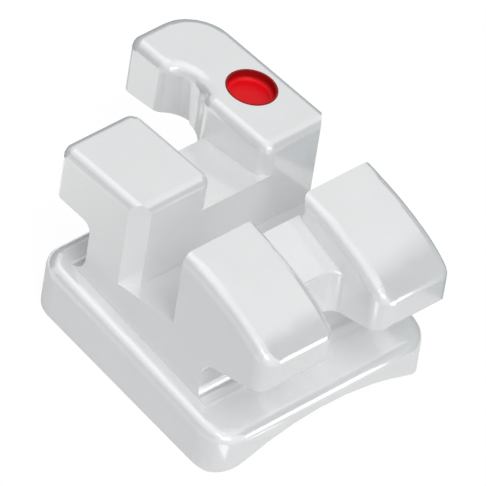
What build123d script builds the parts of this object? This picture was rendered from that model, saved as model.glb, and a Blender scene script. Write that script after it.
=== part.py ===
"""Orthodontic twin bracket with an open gingival hook and a colour dot.

The bracket lies on its bonding base: +X runs along the archwire slot, +Y points to the gum,
+Z points away from the tooth. The slot and the wings lean towards the gum by the torque that
is built into the base, so they are drawn in a slot plane tilted about X. Millimetres.
"""
import os
from math import cos, radians, sin, sqrt, tan

from build123d import *

# archwire slot, 0.022 inch wide with room for the wire
slot_width = 0.57
flare = 0.15                 # lead-in at the ends of the slot's gingival wall

# bonding base
base_width = 2.82
base_length = 2.53
base_shift = 0.03            # base centre to slot centre, towards the gum
base_corner = 0.33           # towards the bite
base_shoulder = 0.27         # corners towards the gum
base_edge = 0.12             # round on the upper rim
tooth_radius = 3.40          # curve of the tooth across the base
base_land = 0.04             # flat along both sides of the bonding face, instead of a knife edge
torque = 12.5                # lean of the slot to the base
ledge_wedge = 2.0            # extra fall of the ledge towards the bite
ledge_drop = 0.41            # slot floor down to the ledge, at the middle of the slot
slot_height = 0.88           # slot floor above the edges of the base

# twin body
body_length = 2.434
gingival_reach = 1.365       # slot centre to the tip of the gingival wing
gingival_height = 0.90       # slot floor to the wing's top beside the slot
gingival_rise = 6.3          # slope of the gingival wing's top
gingival_neck = 0.852        # slot centre to the back of the gingival tie groove
gingival_roof = 0.395        # slot floor up to the roof of that groove
gingival_lift = 0.075        # rise of the roof to the wing's tip
occlusal_reach = 1.44
occlusal_height = 0.79
occlusal_fall = 0.585        # fall of the curved occlusal wing from slot to tip
crown_slope = 12.0           # slope of that curve at the slot
crown_hold = 0.60            # pull of the slope at the slot
tip_slope = 62.0             # slope of the curve at the tip
tip_hold = 0.26              # pull of the slope at the tip
occlusal_neck = 0.70
occlusal_roof = -0.18
occlusal_lift = 0.085
tie_groove = 0.155           # radius in the tie grooves
roof_round = 0.12

# gap between the wings
gingival_gap = 0.68
gingival_shift = 0.07        # middle of the gingival gap to the slot's middle, towards the hook
occlusal_gap = 0.60
saddle_height = 0.55         # saddle floor above the slot floor
saddle_fall = 24.0           # slope of the occlusal saddle floor
gingival_web = 1.05          # slot centre to the end of the gingival saddle
occlusal_web = 0.84
web_round = 0.12
web_edge = 0.03              # round along the front of the occlusal saddle

# rounds of the wings
wing_edge = 0.11             # round along the top of each wing
tip_corner = 0.18            # upright corners at the occlusal tips, plain side
tip_turn = 0.12              # upright corners at the occlusal tips, hook side
slot_corner = 0.13           # upright corners beside the gingival gap
crown_corner = 0.09          # upright corners between the occlusal gap and the slot
gum_corner = 0.12            # upright outer corner of the plain gingival wing
lip_round = 0.06             # lower edge of the wing tips

# hook
hook_reach = 2.10            # slot centre to the end of the hook
hook_side = 1.27             # slot's middle to the outer side of the hooked wing
hook_under = 0.50            # slot floor up to the underside of the hook
hook_outer = 0.45            # round at the outer end of the hook
hook_nose = 0.12             # round at the free end of the hook
hook_lip = 0.035             # nose of the hook past the wing's inner side
throat_radius = 0.30
throat_depth = 0.125
throat_place = 1.36          # slot centre to the middle of the throat
throat_round = 0.13          # lips of the throat

# colour dot
dot_diameter = 0.50
dot_thickness = 0.08
dot_sink = 0.10              # dot face below the wing's top
dot_film = 0.02              # resin left on the wall of the well
dot_meniscus = 0.04          # round between the dot's face and that film
dot_inset = 0.39             # dot centre to the outer side of the hooked wing
dot_place = 0.97             # slot centre to the dot centre

# retention pockets in the bonding face
pocket_size = 0.36
pocket_pitch = 0.50
pocket_depth = 0.06
pocket_columns = 4
pocket_rows = 4
pocket_corner = 0.05
pocket_shift = -0.15         # pocket field's centre to the slot centre

half_slot = slot_width / 2
allowance = half_slot / 2    # stock left on the occlusal wall until the slot is cut
half_body = body_length / 2
plain_inner = gingival_shift - gingival_gap / 2
hook_inner = gingival_shift + gingival_gap / 2
nose_inner = hook_inner - hook_lip
half_occlusal_gap = occlusal_gap / 2
half_arch = base_width / 2 - base_land
arch = tooth_radius - sqrt(tooth_radius**2 - half_arch**2)
ledge_slope = tan(radians(torque + ledge_wedge))
reach = 3.0                  # a length that clears the whole bracket
root = 0.10                  # depth of the body's root inside the base

slot_plane = Plane(
    origin=(0, 0, slot_height),
    x_dir=(1, 0, 0),
    z_dir=(0, sin(radians(torque)), cos(radians(torque))),
)
side_plane = Plane(slot_plane.origin, x_dir=slot_plane.y_dir, z_dir=(1, 0, 0))


def ledge(y):
    """Height of the base's ledge at y in the slot plane."""
    return ledge_slope * y - ledge_drop


def gingival_top(y):
    """Height of the gingival wing's flat top at y in the slot plane."""
    return gingival_height + tan(radians(gingival_rise)) * (y - half_slot)


# Side view of the whole body: wings, slot, necks and the feet of the tie grooves.
foot_gingival = gingival_neck + 2 * tie_groove
foot_occlusal = -occlusal_neck - 2 * tie_groove
occlusal_end = occlusal_height - occlusal_fall
crown_start = allowance - half_slot
crown_height = occlusal_height + allowance * tan(radians(crown_slope))
tip_run = tip_hold * cos(radians(tip_slope))
tip_rise = tip_hold * sin(radians(tip_slope))
crown_run = crown_hold * cos(radians(crown_slope))
crown_drop = crown_hold * sin(radians(crown_slope))
with BuildSketch(side_plane) as body_side:
    with BuildLine():
        Polyline(
            (crown_start, crown_height),
            (crown_start, 0),
            (half_slot, 0),
            (half_slot, gingival_height),
            (gingival_reach, gingival_top(gingival_reach)),
            (gingival_reach, gingival_roof + gingival_lift),
            (gingival_neck, gingival_roof),
            (gingival_neck, ledge(gingival_neck)),
            (foot_gingival, ledge(foot_gingival)),
            (foot_gingival, ledge(foot_gingival) - root),
            (foot_occlusal, ledge(foot_occlusal) - root),
            (foot_occlusal, ledge(foot_occlusal)),
            (-occlusal_neck, ledge(-occlusal_neck)),
            (-occlusal_neck, occlusal_roof),
            (-occlusal_reach, occlusal_roof + occlusal_lift),
            (-occlusal_reach, occlusal_end),
        )
        Bezier(
            (-occlusal_reach, occlusal_end),
            (-occlusal_reach + tip_run, occlusal_end + tip_rise),
            (crown_start - crown_run, crown_height - crown_drop),
            (crown_start, crown_height),
        )
    make_face()
    rounds = (
        (gingival_neck, ledge(gingival_neck), tie_groove),
        (-occlusal_neck, ledge(-occlusal_neck), tie_groove),
        (-occlusal_neck, occlusal_roof, tie_groove),
        (gingival_neck, gingival_roof, roof_round),
        (gingival_reach, gingival_roof + gingival_lift, lip_round),
        (-occlusal_reach, occlusal_roof + occlusal_lift, lip_round),
    )
    for y, z, radius in rounds:
        fillet(body_side.vertices().sort_by_distance((y, z))[0], radius)

# Side view of the hook, which carries the gingival wing's top and roof on towards the gum.
hook_root = gingival_neck + roof_round
with BuildSketch(side_plane) as hook_profile:
    with BuildLine():
        Polyline(
            (hook_root, hook_under),
            (hook_reach, hook_under),
            (hook_reach, gingival_top(hook_reach)),
            (hook_root, gingival_top(hook_root)),
            close=True,
        )
    make_face()

# Plan of the four wings, seen along the slot plane's normal.
with BuildSketch(slot_plane.offset(-reach / 2)) as wing_plan:
    with BuildLine():
        Polyline(
            (-half_body, half_slot),
            (plain_inner, half_slot),
            (plain_inner, gingival_reach),
            (-half_body, gingival_reach),
            close=True,
        )
    make_face()
    with BuildLine():
        Polyline(
            (hook_inner, half_slot),
            (hook_side, half_slot),
            (hook_side, hook_reach),
            (nose_inner, hook_reach),
            (nose_inner, throat_place),
            (hook_inner, throat_place),
            close=True,
        )
    make_face()
    for side in (-1, 1):
        with BuildLine():
            Polyline(
                (side * half_body, crown_start),
                (side * half_occlusal_gap, crown_start),
                (side * half_occlusal_gap, -occlusal_reach),
                (side * half_body, -occlusal_reach),
                close=True,
            )
        make_face()
    rounds = (
        (plain_inner, half_slot, slot_corner),
        (plain_inner, gingival_reach, slot_corner),
        (-half_body, gingival_reach, gum_corner),
        (hook_inner, half_slot, slot_corner),
        (hook_side, hook_reach, hook_outer),
        (nose_inner, hook_reach, hook_nose),
        (-half_body, -occlusal_reach, tip_corner),
        (-half_occlusal_gap, -occlusal_reach, tip_turn),
        (half_occlusal_gap, -occlusal_reach, tip_corner),
        (half_body, -occlusal_reach, tip_turn),
    )
    for x, y, radius in rounds:
        fillet(wing_plan.vertices().sort_by_distance((x, y))[0], radius)
    throat_x = hook_inner + throat_depth - throat_radius
    with Locations((throat_x, throat_place)):
        Circle(throat_radius, mode=Mode.SUBTRACT)
    wing_lip = throat_place - sqrt(throat_radius**2 - (hook_inner - throat_x) ** 2)
    nose_lip = throat_place + sqrt(throat_radius**2 - (nose_inner - throat_x) ** 2)
    for lip in ((hook_inner, wing_lip), (nose_inner, nose_lip)):
        fillet(wing_plan.vertices().sort_by_distance(lip)[0], throat_round)

# Plan of the slot's last cut: the occlusal wall, its corners beside the gap, and the flare.
with BuildSketch(slot_plane) as slot_plan:
    with Locations((0, -half_slot)):
        Rectangle(2 * reach, half_slot, align=(Align.CENTER, Align.MIN))
    for side in (-1, 1):
        with Locations((side * half_occlusal_gap, -half_slot - crown_corner / 2)):
            Rectangle(2 * crown_corner, crown_corner)
    for side in (-1, 1):
        with Locations((side * (half_occlusal_gap + crown_corner), -half_slot - crown_corner)):
            Circle(crown_corner, mode=Mode.SUBTRACT)
    for end, side in ((-half_body, -1), (hook_side, 1)):
        with BuildLine():
            Polyline(
                (end - side * flare, half_slot),
                (end + side * flare, half_slot + 2 * flare),
                (end + side * flare, half_slot),
                close=True,
            )
        make_face()

# The wings stand free of each other: side view and plan meet, the tops are rounded, then the slot is cut.
outward = Axis(slot_plane.origin, slot_plane.z_dir)
gumward = Axis(slot_plane.origin, slot_plane.y_dir)
with BuildPart() as wings:
    extrude(body_side.sketch, amount=hook_side, both=True)
    extrude(hook_profile.sketch, amount=hook_side, both=True)
    extrude(wing_plan.sketch, amount=reach, mode=Mode.INTERSECT)
    for wing in wings.solids():
        rim = wing.faces().sort_by(outward)[-1].edges()
        if wing.center().Y < 0:
            rim = rim.sort_by(gumward)[:-1]
        fillet(rim, wing_edge)
    extrude(slot_plan.sketch, amount=reach, both=True, mode=Mode.SUBTRACT)

# The neck under the slot floor runs the whole length of the body.
plate_start = occlusal_neck + tie_groove / 2
with BuildPart() as neck:
    extrude(body_side.sketch, amount=half_body, both=True)
    with BuildSketch(side_plane):
        with BuildLine():
            Polyline(
                (reach, 0),
                (reach, reach),
                (-reach, reach),
                (-reach, occlusal_roof - tie_groove),
                (-plate_start, occlusal_roof - tie_groove),
                (-plate_start, 0),
                close=True,
            )
        make_face()
    extrude(amount=half_body, both=True, mode=Mode.SUBTRACT)

# The webs join each pair of wings below the gap; their ends lie inside the wings.
web_half = hook_inner + 2 * slot_corner
saddle_end = saddle_height - tan(radians(saddle_fall)) * (reach - half_slot)
with BuildPart() as webs:
    extrude(body_side.sketch, amount=web_half, both=True)
    with BuildSketch(side_plane):
        with BuildLine():
            Polyline(
                (reach, saddle_height),
                (-half_slot, saddle_height),
                (-reach, saddle_end),
                (-reach, reach),
                (reach, reach),
                close=True,
            )
        make_face()
        Rectangle(slot_width, saddle_height, align=(Align.CENTER, Align.MIN))
        with Locations((gingival_web, 0)):
            Rectangle(reach, saddle_height, align=(Align.MIN, Align.MIN))
        with Locations((-occlusal_web - web_round, occlusal_roof - tie_groove)):
            Rectangle(reach, reach, align=(Align.MAX, Align.MIN))
    extrude(amount=web_half, both=True, mode=Mode.SUBTRACT)
    with BuildSketch(slot_plane.offset(occlusal_roof - tie_groove)):
        with Locations((0, -occlusal_web - reach / 2)):
            RectangleRounded(occlusal_gap, reach, web_round)
    extrude(amount=reach, mode=Mode.SUBTRACT)
    saddle_middle = (half_slot + occlusal_web) / 2
    saddle_z = saddle_height - tan(radians(saddle_fall)) * (saddle_middle - half_slot)
    saddle = webs.faces().sort_by_distance(side_plane.from_local_coords((-saddle_middle, saddle_z)))[0]
    front = saddle.edges().filter_by_position(gumward, -occlusal_web - web_round + web_edge, -occlusal_web)
    fillet(front, web_edge)

# Square pockets in the bonding face hold the adhesive; a plain rim is left around them.
with BuildPart() as pockets:
    with BuildSketch(Plane.XY):
        with Locations((0, pocket_shift)):
            with GridLocations(pocket_pitch, pocket_pitch, pocket_columns, pocket_rows):
                RectangleRounded(pocket_size, pocket_size, pocket_corner)
    extrude(amount=reach)
    with Locations((0, 0, arch - tooth_radius)):
        Cylinder(tooth_radius + pocket_depth, 2 * reach, rotation=(90, 0, 0), mode=Mode.INTERSECT)

dot_plane = Plane(
    origin=side_plane.from_local_coords((dot_place, gingival_top(dot_place), hook_side - dot_inset)),
    x_dir=(1, 0, 0),
    z_dir=(0, sin(radians(torque - gingival_rise)), cos(radians(torque - gingival_rise))),
)
ledge_plane = Plane(
    origin=side_plane.from_local_coords((0, ledge(0))),
    x_dir=(1, 0, 0),
    z_dir=(0, -sin(radians(ledge_wedge)), cos(radians(ledge_wedge))),
)

with BuildPart() as bracket_body:
    # base pad, drawn out along the slot plane's normal and cut off along the ledge
    with BuildSketch(slot_plane.offset(-reach / 2)) as base_plan:
        with Locations((0, base_shift)):
            Rectangle(base_width, base_length)
        fillet(base_plan.vertices().group_by(Axis.Y)[-1], base_shoulder)
        fillet(base_plan.vertices().group_by(Axis.Y)[0], base_corner)
    extrude(amount=reach)
    split(bisect_by=ledge_plane, keep=Keep.BOTTOM)
    fillet(bracket_body.faces().sort_by(Axis.Z)[-1].edges(), base_edge)
    with Locations((0, 0, arch - tooth_radius)):
        Cylinder(tooth_radius, 2 * reach, rotation=(90, 0, 0), mode=Mode.SUBTRACT)
    split(bisect_by=Plane.XY, keep=Keep.TOP)
    add(pockets.part, mode=Mode.SUBTRACT)
    # twin body
    add(neck.part)
    add(webs.part)
    add(wings.part)
    # round well of the colour dot in the hooked wing
    with BuildSketch(dot_plane):
        Circle(dot_diameter / 2)
    extrude(amount=-(dot_sink + dot_thickness), mode=Mode.SUBTRACT)
bracket_body.part.label = "bracket_body"

with BuildPart() as identification_dot:
    with BuildSketch(dot_plane):
        Circle(dot_diameter / 2)
    extrude(amount=-(dot_sink + dot_thickness))
    with BuildSketch(dot_plane):
        Circle(dot_diameter / 2 - dot_film)
    extrude(amount=-dot_sink, mode=Mode.SUBTRACT)
    floor_edge = identification_dot.edges().filter_by(GeomType.CIRCLE)
    floor_edge = floor_edge.sort_by_distance(dot_plane.offset(-dot_sink).origin)[0]
    fillet(floor_edge, dot_meniscus)
identification_dot.part.label = "identification_dot"

os.makedirs("parts", exist_ok=True)
export_step(bracket_body.part, "parts/bracket_body.step")
export_step(identification_dot.part, "parts/identification_dot.step")
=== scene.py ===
import math
import bpy
import numpy as np
from mathutils import Matrix, Vector

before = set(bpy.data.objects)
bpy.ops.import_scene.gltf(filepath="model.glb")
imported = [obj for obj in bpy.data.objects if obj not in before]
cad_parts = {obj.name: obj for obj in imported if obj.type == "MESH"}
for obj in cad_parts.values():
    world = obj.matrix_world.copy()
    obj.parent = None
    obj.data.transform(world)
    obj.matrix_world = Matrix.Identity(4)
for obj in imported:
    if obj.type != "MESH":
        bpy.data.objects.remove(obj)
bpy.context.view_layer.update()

# The bracket is one piece of white alumina ceramic, moulded with its hook and tie wings, fired and
# glazed. It lies on its bonding base, with the archwire slot along X and the hook towards the gum.


class Wire:
    """One shader socket. Arithmetic on it adds Math nodes, and node() adds any other node."""

    def __init__(self, tree, socket=None):
        self.tree = tree
        self.socket = socket

    def node(self, kind, settings=(), sockets=(), output=0, stops=()):
        """A node of that type: its settings first, then a ramp's stops, then its inputs."""
        made = self.tree.nodes.new(kind)
        for name, value in dict(settings).items():
            setattr(made, name, value)
        if stops:
            ramp = made.color_ramp.elements
            while len(ramp) < len(stops):
                ramp.new(0.5)
            for element, (position, colour) in zip(ramp, stops):
                element.position = position
                element.color = colour
        for name, value in dict(sockets).items():
            if isinstance(value, Wire):
                self.tree.links.new(value.socket, made.inputs[name])
            else:
                made.inputs[name].default_value = value
        return Wire(self.tree, made.outputs[output])

    def math(self, operation, a, b):
        """A Math node on two wires or numbers."""
        return self.node("ShaderNodeMath", {"operation": operation}, {0: a, 1: b})

    def __add__(self, other):
        return self.math("ADD", self, other)

    __radd__ = __add__

    def __sub__(self, other):
        return self.math("SUBTRACT", self, other)

    def __rsub__(self, other):
        return self.math("SUBTRACT", other, self)

    def __mul__(self, other):
        return self.math("MULTIPLY", self, other)

    __rmul__ = __mul__


def finish_of(name, **constants):
    """A new material with a Principled shader whose constants are set on its own sockets."""
    material = bpy.data.materials.new(name)
    material.use_nodes = True
    shader = material.node_tree.nodes["Principled BSDF"]
    for socket, value in constants.items():
        shader.inputs[socket.replace("_", " ")].default_value = value
    return material, shader, Wire(material.node_tree)


def connect(shader, **links):
    """Joins wires to the shader's sockets."""
    for socket, wire in links.items():
        wire.tree.links.new(wire.socket, shader.inputs[socket.replace("_", " ")])


def speckle(wire, place, scale, detail):
    """Noise of that many cells to the metre, with that many finer layers."""
    sockets = {"Vector": place, "Scale": scale, "Detail": detail}
    return wire.node("ShaderNodeTexNoise", sockets=sockets)


# The white is a little uneven, in soft clouds and a fine grain, and the grain breaks up the gloss.
duller_white = (0.905, 0.91, 0.912, 1)
clearer_white = (0.945, 0.95, 0.952, 1)
fired_roughness = 0.16
grain_roughness = 0.10
ceramic, ceramic_shader, wire = finish_of(
    "glazed_alumina",
    IOR=1.76,
    Specular_IOR_Level=0.8,
    Coat_Roughness=0.08,
    Coat_IOR=1.9,
)
place = wire.node("ShaderNodeTexCoord", output="Object")
cloud = speckle(wire, place, scale=2600.0, detail=3.0)
grain = speckle(wire, place, scale=26000.0, detail=2.0)
white = wire.node(
    "ShaderNodeValToRGB",
    sockets={"Fac": cloud * 0.7 + grain * 0.3},
    stops=((0.3, duller_white), (0.7, clearer_white)),
)

# The bonding face and the floors of its pockets are what looks down close to the tooth's axis,
# which runs along Y below the base. They are left unglazed and grit-rough for the adhesive.
tooth_axis_depth = 0.0031118
bonding_reach = 0.003475
looking_down = -0.3
grit_depth = 0.00002
grit_roughness = 0.45
across_tooth = {0: place, 1: (1.0, 0.0, 1.0), 2: (0.0, 0.0, tooth_axis_depth)}
from_axis = wire.node("ShaderNodeVectorMath", {"operation": "MULTIPLY_ADD"}, across_tooth)
from_axis = wire.node("ShaderNodeVectorMath", {"operation": "LENGTH"}, {0: from_axis}, "Value")
facing = wire.node("ShaderNodeTexCoord", output="Normal")
facing = wire.node("ShaderNodeSeparateXYZ", sockets={"Vector": facing}, output="Z")
near_tooth = wire.math("LESS_THAN", from_axis, bonding_reach)
bonding = near_tooth * wire.math("LESS_THAN", facing, looking_down)
grit = speckle(wire, place, scale=45000.0, detail=4.0)
relief = wire.node(
    "ShaderNodeBump",
    sockets={"Height": grit * bonding, "Strength": 0.8, "Distance": grit_depth},
)
connect(
    ceramic_shader,
    Base_Color=white,
    Roughness=fired_roughness + grain * grain_roughness + bonding * grit_roughness,
    Coat_Weight=1.0 - bonding,
    Normal=relief,
)
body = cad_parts["bracket_body"]
body.material_slots[0].material = ceramic

# The dot is a drop of red resin in a blind round well on the hooked wing. It marks the tooth that
# the bracket is for, and wears off in use. It has crept up the well's wall, and its red is painted
# darker up the wall as painted shade in the well.
well_axis = (0.0, 0.108, 0.99415)
dot_floor = 0.001640
# Painted shade: over this rise up the well's wall the red is painted darker, as shade in the well.
wall_shade_height = 0.00005
floor_red = (1.0, 0.003, 0.010, 1)
edge_red = (0.97, 0.004, 0.012, 1)
painted_shade_red = (0.36, 0.008, 0.010, 1)
resin_roughness = 0.28
pigment_roughness = 0.12
resin, resin_shader, wire = finish_of("red_marking_resin", IOR=1.33, Specular_IOR_Level=0.35)
place = wire.node("ShaderNodeTexCoord", output="Object")
pigment = speckle(wire, place, scale=9000.0, detail=3.0)
height = {0: place, 1: well_axis}
height = wire.node("ShaderNodeVectorMath", {"operation": "DOT_PRODUCT"}, height, "Value")
# The ramp paints shade into the well: the red grows darker higher up its wall.
red = wire.node(
    "ShaderNodeValToRGB",
    sockets={"Fac": (height - dot_floor) * (1 / wall_shade_height) + pigment * 0.2},
    stops=((0.0, floor_red), (0.2, edge_red), (0.9, painted_shade_red)),
)
connect(resin_shader, Base_Color=red, Roughness=resin_roughness + pigment * pigment_roughness)
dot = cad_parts["identification_dot"]
dot.material_slots[0].material = resin

# The studio has a pale floor, an even pale room and two large soft lamps. Cards that show only in
# the glaze draw the white and the grey lines along the rounded edges. A long lens looks down on the
# bracket from the left, as in the photograph.

# The view is measured in the slot's own frame, which leans over the base by the bracket's torque.
torque = math.radians(12.5)
turn = 0.8846
drop = 0.6468
roll = 0.1612
forward = np.array([
    math.cos(drop) * math.sin(turn),
    math.cos(drop) * math.cos(turn),
    -math.sin(drop),
])
level = np.array([math.cos(turn), -math.sin(turn), 0.0])
plumb = np.cross(forward, level)
right = math.cos(roll) * level - math.sin(roll) * plumb
down = math.sin(roll) * level + math.cos(roll) * plumb
upright = np.array([
    [1, 0, 0],
    [0, math.cos(torque), math.sin(torque)],
    [0, -math.sin(torque), math.cos(torque)],
])
right, down, forward = upright @ right, upright @ down, upright @ forward

# The lens is aimed so that the middle of the slot's floor falls on its own pixel of the picture.
picture_pixels = 486
pixels_to_mm = 109.7565
slot_pixel = (245.27, 259.06)
slot_floor = np.array([0.0, 0.0, 0.00088])
distance = 0.112
sensor_mm = 36.0
pixel = 0.001 / pixels_to_mm
shift_right = (picture_pixels / 2 - slot_pixel[0]) * pixel
shift_down = (picture_pixels / 2 - slot_pixel[1]) * pixel
aim = slot_floor + shift_right * right + shift_down * down
lens = bpy.data.cameras.new("long_lens")
lens.sensor_width = sensor_mm
lens.lens = sensor_mm * distance / (picture_pixels * pixel)
lens.clip_start = 0.002
lens.clip_end = 10.0
camera = bpy.data.objects.new("camera", lens)
pose = np.eye(4)
pose[:3] = np.stack([right, -down, -forward, aim - distance * forward], 1)
camera.matrix_world = Matrix(pose.tolist())
bpy.context.scene.collection.objects.link(camera)
bpy.context.scene.camera = camera


def stage_sheet(name, middle, across, along, material):
    """A flat sheet of the studio: its corners are the middle plus or minus both half sides."""
    signs = np.array([(-1, -1), (1, -1), (1, 1), (-1, 1)])
    corners = np.array(middle) + signs @ np.array([across, along])
    mesh = bpy.data.meshes.new(name)
    mesh.from_pydata(corners.tolist(), [], [(0, 1, 2, 3)])
    mesh.materials.append(material)
    sheet = bpy.data.objects.new(name, mesh)
    bpy.context.scene.collection.objects.link(sheet)
    return sheet


def blank(datablock, output_kind):
    """Empties a node tree, and gives its wire and the Surface socket of a new output node."""
    datablock.use_nodes = True
    datablock.node_tree.nodes.clear()
    output = datablock.node_tree.nodes.new(output_kind)
    return Wire(datablock.node_tree), output.inputs["Surface"]


def seen(wire, straight, through, mirrored):
    """The share that a ray sees: each kind of ray, 1 or 0, times its own share, added up."""
    by_camera = wire.node("ShaderNodeLightPath", output="Is Camera Ray")
    by_glass = wire.node("ShaderNodeLightPath", output="Is Transmission Ray")
    by_gloss = wire.node("ShaderNodeLightPath", output="Is Glossy Ray")
    return by_camera * straight + by_glass * through + by_gloss * mirrored


def mix_into(wire, surface, share, first, second):
    """Joins two shaders to the output: the share of the second, and the rest of the first."""
    mixed = wire.node("ShaderNodeMixShader", sockets={0: share, 1: first, 2: second})
    wire.tree.links.new(mixed.socket, surface)


# Seen straight, the floor glows white and keeps a little of the shadow. It lies a hair below the
# base, so that no face of the base lies in it.
floor_gap = 0.000002
floor_half = 0.06
paper = bpy.data.materials.new("pale_floor")
wire, surface = blank(paper, "ShaderNodeOutputMaterial")
share = seen(wire, straight=0.9, through=0.9, mirrored=0.3)
matt = wire.node("ShaderNodeBsdfDiffuse", sockets={"Color": (0.8, 0.8, 0.8, 1)})
glow = wire.node("ShaderNodeEmission", sockets={"Color": (1, 1, 1, 1), "Strength": 1.06})
mix_into(wire, surface, share, matt, glow)
stage_sheet("floor", (0, 0, -floor_gap), (floor_half, 0, 0), (0, floor_half, 0), paper)

# The room lights the bracket evenly, a little cool, and is white where it is seen or mirrored.
room = bpy.data.worlds.new("pale_room")
bpy.context.scene.world = room
wire, surface = blank(room, "ShaderNodeOutputWorld")
share = seen(wire, straight=1.0, through=1.0, mirrored=1.0)
cool_walls = {"Color": (0.97, 0.985, 1.0, 1), "Strength": 0.38}
walls = wire.node("ShaderNodeBackground", sockets=cool_walls)
backdrop = wire.node("ShaderNodeBackground", sockets={"Color": (1, 1, 1, 1), "Strength": 1.0})
mix_into(wire, surface, share, walls, backdrop)


def soft_lamp(name, direction, away, side, power):
    """A square area lamp that far from the bracket in that direction, turned to face it."""
    data = bpy.data.lights.new(name, "AREA")
    data.shape = "SQUARE"
    data.size = side
    data.energy = power
    lamp = bpy.data.objects.new(name, data)
    spot = Vector(direction).normalized() * away
    facing_bracket = spot.to_track_quat("Z", "Y").to_matrix().to_4x4()
    lamp.matrix_world = Matrix.Translation(spot) @ facing_bracket
    bpy.context.scene.collection.objects.link(lamp)


soft_lamp("key", direction=(-0.14, -0.36, 0.92), away=1.0, side=0.7, power=3.8)
soft_lamp("fill", direction=(-0.30, -0.75, 0.58), away=1.0, side=0.5, power=1.2)


def card_finish(name, axis, low, high, stops):
    """A glow whose colour follows a ramp along that axis, from the low place to the high one."""
    made = bpy.data.materials.new(name)
    wire, surface = blank(made, "ShaderNodeOutputMaterial")
    place = wire.node("ShaderNodeTexCoord", output="Object")
    along = wire.node("ShaderNodeSeparateXYZ", sockets={"Vector": place}, output=axis)
    share = (along - low) * (1 / (high - low))
    colour = wire.node("ShaderNodeValToRGB", sockets={"Fac": share}, stops=stops)
    glow = wire.node("ShaderNodeEmission", sockets={"Color": colour, "Strength": 3.0})
    wire.tree.links.new(glow.socket, surface)
    return made


def even_finish(name, colour):
    """A glow of one colour."""
    return card_finish(name, "Z", 0, 1, ((0, colour), (1, colour)))


def white_of(level):
    """A neutral colour, with that level of red, green and blue."""
    return (level, level, level, 1)


def card(name, middle, across, along, finish):
    """A card that shows in reflections alone: its middle, and the half sides from there."""
    sheet = stage_sheet(name, middle, across, along, finish)
    sheet.visible_camera = False
    sheet.visible_diffuse = False
    sheet.visible_shadow = False
    sheet.visible_transmission = False


# In front to the right, a card with a white foot and a dark middle draws a grey band over each tip,
# with a white line under it.
# The front card's dark middle is a dark glow seen only in reflections, and draws the grey band over
# each tip.
reflected_dark = (0.010, 0.020, 0.026, 1)
front_foot = 0.0003
front_top = 0.0073
front_stops = ((0.193, white_of(0.95)), (0.236, reflected_dark), (0.714, reflected_dark), (1.0, white_of(0.33)))
shaded = card_finish("shaded_card", "Z", front_foot, front_top, front_stops)
front_middle = (0.00464, -0.00209, (front_foot + front_top) / 2)
front_height = (0.0, 0.0, (front_top - front_foot) / 2)
card("front_card", front_middle, (0.00364, 0.00285, 0.0), front_height, shaded)

# Overhead, a card that pales towards the gum draws the white lines along the edges that face left.
# A grey one far to the left borders them below.
ceiling_stops = ((0.0, white_of(0.18)), (1.0, white_of(0.54)))
ceiling = card_finish("ceiling_card", "Y", -0.012, 0.014, ceiling_stops)
grey = even_finish("grey_card", (0.14, 0.152, 0.158, 1))
card("top_card", (-0.005, -0.004, 0.050), (0.020, 0.0, 0.0), (0.0, 0.046, 0.0), ceiling)
card("left_card", (-0.050, 0.0, 0.021), (0.0, 0.040, 0.0), (0.0, 0.0, 0.019), grey)

# On the floor, pale cards lift the left side of the gingival wings and of the hook.
floor_stops = ((0.0, white_of(0.25)), (1.0, white_of(0.45)))
graded = card_finish("graded_card", "Y", 0.0006, 0.0026, floor_stops)
soft = even_finish("soft_card", white_of(0.45))
card("left_floor_card", (-0.0034, 0.0030, 0.0), (0.0015, 0.0, 0.0), (0.0, 0.0024, 0.0), graded)
card("back_floor_card", (-0.0008, 0.0037, 0.0), (0.0010, 0.0, 0.0), (0.0, 0.0017, 0.0), soft)

# On the floor in front, one small pale card for each tip draws a white line up its rounded corner.
pale = even_finish("pale_card", white_of(0.62))
card("left_tip_card", (-0.00168, -0.00218, 0.0), (0.00030, 0.0, 0.0), (0.0, 0.00044, 0.0), pale)
card("right_tip_card", (-0.00024, -0.00209, 0.0), (0.00018, 0.0, 0.0), (0.0, 0.00024, 0.0), pale)

# Behind and to the right, low dark cards draw a grey line along the far edges.
dark = even_finish("dark_card", (0.06, 0.075, 0.083, 1))
low_middle = 0.00115
low_height = (0.0, 0.0, low_middle)
card("right_card", (0.0026, 0.0003, low_middle), (0.0, 0.004, 0.0), low_height, dark)
card("back_card", (0.0, 0.0034, low_middle), (0.003, 0.0, 0.0), low_height, dark)

bpy.context.scene.view_settings.view_transform = "Standard"
